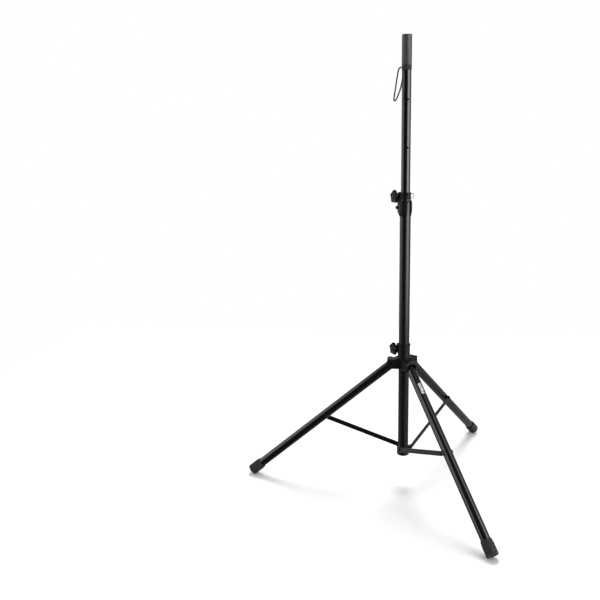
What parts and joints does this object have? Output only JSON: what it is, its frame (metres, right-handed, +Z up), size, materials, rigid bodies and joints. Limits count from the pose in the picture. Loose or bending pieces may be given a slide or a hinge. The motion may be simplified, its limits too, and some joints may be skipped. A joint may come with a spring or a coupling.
{
  "type": "speaker tripod stand",
  "caption": "Black steel tripod stand for a loudspeaker: telescoping pole with clamp knob and safety pin, sliding leg housing, folding legs with flat braces and rubber feet.",
  "frame": {"origin": "on the floor, at the middle of the stand's bounding box; the column axis stands at x = 0.1568 m, y = 0", "axes": "+Z up along the column, -X towards leg 1, +Y to the left when looking along +X; legs 2 and 3 stand 120 degrees either side of leg 1"},
  "size_m": [0.9951, 1.142, 1.77],
  "materials": {
    "gloss_paint": "gloss",
    "satin_paint": "satin",
    "dark_plastic": "satin",
    "grey_plastic": "satin",
    "black_steel": "satin",
    "bright_steel": "polished",
    "rubber": "matt",
    "webbing": "woven",
    "label": "satin"
  },
  "bodies": {
    "column": {"lower_tube": "satin_paint", "column_end_plug": "dark_plastic", "bottom_hub": "satin_paint", "hub_pin_1": "black_steel", "hub_pin_2": "black_steel", "hub_pin_3": "black_steel", "clamp_casting": "dark_plastic", "clamp_bushing": "dark_plastic", "clamp_bolt": "black_steel", "clamp_fixing_bolt": "black_steel"},
    "pole": {"upper_tube": "gloss_paint", "pole_top_plug": "dark_plastic", "pole_runner": "dark_plastic", "strap_band": "webbing", "strap_loop": "webbing"},
    "sleeve": {"adaptor_sleeve": "grey_plastic"},
    "clamp_knob": {"clamp_knob": "dark_plastic"},
    "safety_pin": {"safety_pin": "bright_steel"},
    "pin_ring": {"pin_ring": "bright_steel"},
    "housing": {"leg_housing": "dark_plastic", "housing_bushing": "dark_plastic", "housing_bolt": "black_steel", "leg_pivot_bolt_1": "black_steel", "leg_pivot_bolt_2": "black_steel", "leg_pivot_bolt_3": "black_steel"},
    "housing_knob": {"housing_knob": "dark_plastic"},
    "leg_1": {"leg_tube_1": "gloss_paint", "leg_top_plug_1": "dark_plastic", "foot_1": "rubber", "brace_saddle_1": "dark_plastic", "leg_brace_bolt_1": "black_steel"},
    "brace_1": {"brace_1": "satin_paint", "brace_nut_1": "black_steel"},
    "leg_2": {"leg_tube_2": "gloss_paint", "leg_top_plug_2": "dark_plastic", "foot_2": "rubber", "brace_saddle_2": "dark_plastic", "leg_brace_bolt_2": "black_steel", "label_blank": "label"},
    "brace_2": {"brace_2": "satin_paint", "brace_nut_2": "black_steel"},
    "leg_3": {"leg_tube_3": "gloss_paint", "leg_top_plug_3": "dark_plastic", "foot_3": "rubber", "brace_saddle_3": "dark_plastic", "leg_brace_bolt_3": "black_steel"},
    "brace_3": {"brace_3": "satin_paint", "brace_nut_3": "black_steel"}
  },
  "joints": [
    {"name": "fold", "type": "slide", "parent": "column", "child": "housing", "axis": [0, 0, 1], "range_m": [0, 0.3527]},
    {"name": "leg_swing_1", "type": "hinge", "parent": "housing", "child": "leg_1", "pos_m": [0.10083, 0, 0.50503], "axis": [0, -1, 0], "range_deg": [-1, 51]},
    {"name": "brace_swing_1", "type": "hinge", "parent": "column", "child": "brace_1", "pos_m": [0.13883, 0, 0.1506], "axis": [0, 1, 0], "range_deg": [-1, 65]},
    {"name": "leg_swing_2", "type": "hinge", "parent": "housing", "child": "leg_2", "pos_m": [0.18483, -0.0485, 0.50503], "axis": [0.866, 0.5, 0], "range_deg": [-1, 51]},
    {"name": "brace_swing_2", "type": "hinge", "parent": "column", "child": "brace_2", "pos_m": [0.16583, -0.01559, 0.1506], "axis": [-0.866, -0.5, 0], "range_deg": [-1, 65]},
    {"name": "leg_swing_3", "type": "hinge", "parent": "housing", "child": "leg_3", "pos_m": [0.18483, 0.0485, 0.50503], "axis": [-0.866, 0.5, 0], "range_deg": [-1, 51]},
    {"name": "brace_swing_3", "type": "hinge", "parent": "column", "child": "brace_3", "pos_m": [0.16583, 0.01559, 0.1506], "axis": [0.866, -0.5, 0], "range_deg": [-1, 65]},
    {"name": "pole_height", "type": "slide", "parent": "column", "child": "pole", "axis": [0, 0, 1], "range_m": [-0.35, 0], "deforming": ["strap_loop"]},
    {"name": "sleeve_lift", "type": "slide", "parent": "pole", "child": "sleeve", "axis": [0, 0, 1], "range_m": [0, 0.115]},
    {"name": "clamp_turn", "type": "hinge", "parent": "column", "child": "clamp_knob", "pos_m": [0.14033, 0.02858, 1.179], "axis": [-0.866, -0.5, 0], "range_deg": [0, 720]},
    {"name": "housing_turn", "type": "hinge", "parent": "housing", "child": "housing_knob", "pos_m": [0.14033, 0.02858, 0.56953], "axis": [-0.866, -0.5, 0], "range_deg": [0, 720]},
    {"name": "pin_pull", "type": "slide", "parent": "column", "child": "safety_pin", "axis": [0.3907, -0.9205, 0], "range_m": [-0.0035, 0.025]},
    {"name": "ring_swing", "type": "hinge", "parent": "safety_pin", "child": "pin_ring", "pos_m": [0.16797, -0.02623, 1.1895], "axis": [0, 0, 1], "range_deg": [-120, 30]}
  ],
  "couplings": [
    {"joint": "leg_swing_1", "follows": "fold", "rad_per_m": 2.4745},
    {"joint": "brace_swing_1", "follows": "fold", "rad_per_m": 3.1377},
    {"joint": "leg_swing_2", "follows": "fold", "rad_per_m": 2.4745},
    {"joint": "brace_swing_2", "follows": "fold", "rad_per_m": 3.1377},
    {"joint": "leg_swing_3", "follows": "fold", "rad_per_m": 2.4745},
    {"joint": "brace_swing_3", "follows": "fold", "rad_per_m": 3.1377}
  ]
}
